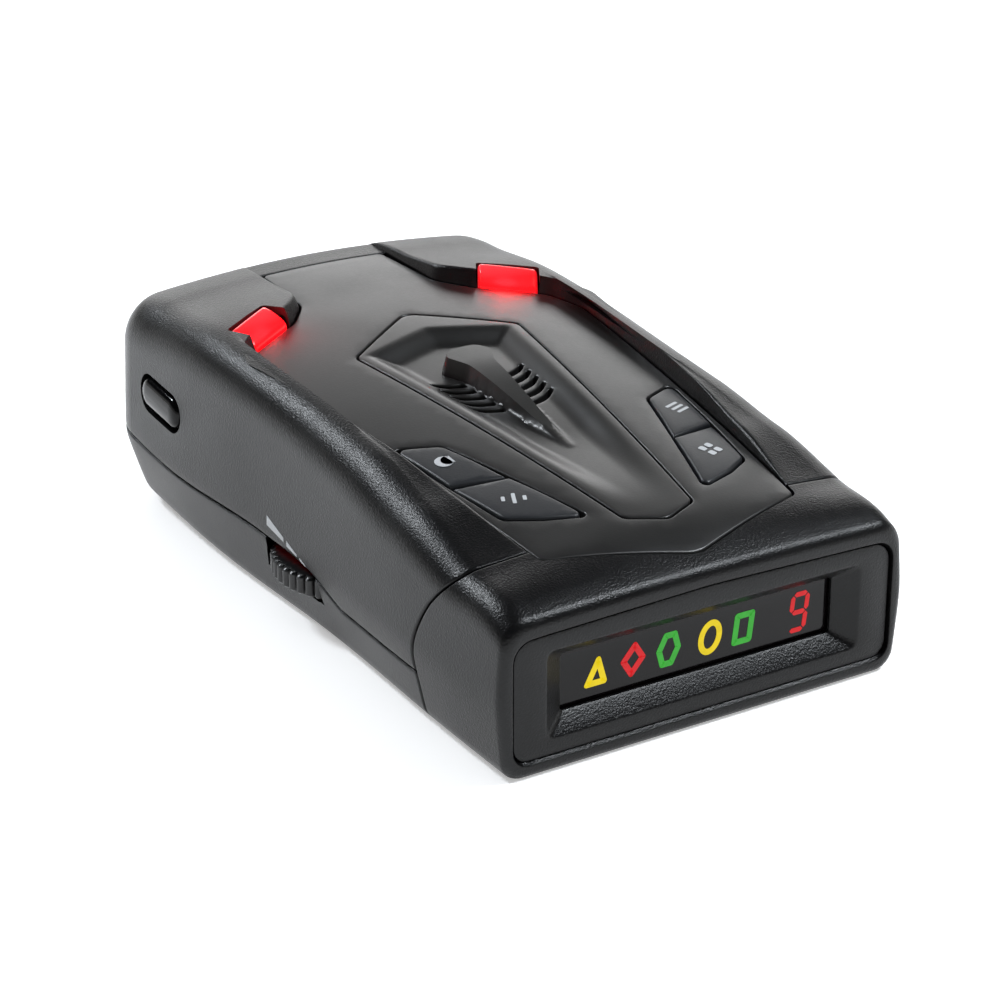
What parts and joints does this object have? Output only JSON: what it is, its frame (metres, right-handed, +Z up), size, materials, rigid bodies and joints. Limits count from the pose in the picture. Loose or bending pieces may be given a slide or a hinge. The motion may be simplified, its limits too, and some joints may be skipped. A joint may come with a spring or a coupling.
{
  "type": "radar detector",
  "caption": "Windshield radar detector: wedge case in joined shells, framed front display, speaker insert, paired keys, red alert lamps, side volume wheel, bracket slot.",
  "frame": {"origin": "centre of the footprint, on the surface the case stands on", "axes": "+X the viewer's right when facing the display, -Y the display end, +Y the road end, +Z up"},
  "size_m": [0.0699, 0.1186, 0.037],
  "materials": {
    "case_black": "fine spark-eroded grain, satin black",
    "panel_charcoal": "smooth satin charcoal",
    "button_rubber": "soft-touch dark grey",
    "gloss_black": "polished black",
    "smoked_window": "smoked, nearly opaque",
    "lamp_red": "translucent red lens, lit",
    "led_red": "red diffused lamp",
    "white_plastic": "natural white moulding",
    "moulded_black": "moulded black",
    "board_green": "green solder mask",
    "ribbon_grey": "flat ribbon insulation",
    "capacitor_sleeve": "shrink sleeve",
    "foam_black": "felted foam ring",
    "plated_steel": "zinc-plated",
    "cone_paper": "pressed paper",
    "zinc_casting": "bare zinc die casting",
    "clear_lens": "clear moulded lens"
  },
  "bodies": {
    "housing": {"bottom_case": "case_black", "bracket_socket": "moulded_black", "button_board": "board_green", "case_screw_1": "plated_steel", "case_screw_2": "plated_steel", "case_screw_3": "plated_steel", "case_screw_4": "plated_steel", "digit_module": "moulded_black", "display_bezel": "case_black", "display_board": "board_green", "display_light_block": "white_plastic", "display_ribbon": "ribbon_grey", "display_window": "smoked_window", "filter_capacitor": "capacitor_sleeve", "front_cap": "case_black", "horn_antenna": "zinc_casting", "horn_screw_left": "plated_steel", "horn_screw_right": "plated_steel", "laser_lens": "clear_lens", "laser_sensor": "moulded_black", "left_alert_led": "led_red", "left_alert_lens": "lamp_red", "left_front_switch": "moulded_black", "left_rear_switch": "moulded_black", "main_board": "board_green", "mixer_board": "board_green", "mixer_shield": "plated_steel", "power_jack": "moulded_black", "processor_chip": "moulded_black", "rear_window": "smoked_window", "right_alert_led": "led_red", "right_alert_lens": "lamp_red", "right_front_switch": "moulded_black", "right_rear_switch": "moulded_black", "speaker_basket": "plated_steel", "speaker_cone": "cone_paper", "speaker_gasket": "foam_black", "speaker_insert": "panel_charcoal", "speaker_magnet": "plated_steel", "top_case": "case_black", "top_panel": "panel_charcoal", "volume_potentiometer": "moulded_black"},
    "left_rear_key": {"left_rear_button": "button_rubber", "left_rear_plunger": "white_plastic"},
    "left_front_key": {"left_front_button": "button_rubber", "left_front_plunger": "white_plastic"},
    "right_rear_key": {"right_rear_button": "button_rubber", "right_rear_plunger": "white_plastic"},
    "right_front_key": {"right_front_button": "button_rubber", "right_front_plunger": "white_plastic"},
    "volume_wheel": {"volume_wheel": "gloss_black"},
    "bracket_release": {"release_button": "gloss_black", "release_spring": "plated_steel", "bracket_latch": "plated_steel"}
  },
  "joints": [
    {"name": "left_rear_press", "type": "slide", "parent": "housing", "child": "left_rear_key", "axis": [0, 0, -1], "range_m": [0, 0.0005], "stiffness_N_per_m": 500, "springref_m": -0.0004},
    {"name": "left_front_press", "type": "slide", "parent": "housing", "child": "left_front_key", "axis": [0, 0, -1], "range_m": [0, 0.0005], "stiffness_N_per_m": 500, "springref_m": -0.0004},
    {"name": "right_rear_press", "type": "slide", "parent": "housing", "child": "right_rear_key", "axis": [0, 0, -1], "range_m": [0, 0.0005], "stiffness_N_per_m": 500, "springref_m": -0.0004},
    {"name": "right_front_press", "type": "slide", "parent": "housing", "child": "right_front_key", "axis": [0, 0, -1], "range_m": [0, 0.0005], "stiffness_N_per_m": 500, "springref_m": -0.0004},
    {"name": "volume_turn", "type": "hinge", "parent": "housing", "child": "volume_wheel", "pos_m": [-0.022, -0.0014, 0.0065], "axis": [0, 0, 1], "range_deg": [-140, 140]},
    {"name": "bracket_release_slide", "type": "slide", "parent": "housing", "child": "bracket_release", "axis": [1, 0, 0], "range_m": [0, 0.0018], "stiffness_N_per_m": 600, "springref_m": -0.001}
  ]
}
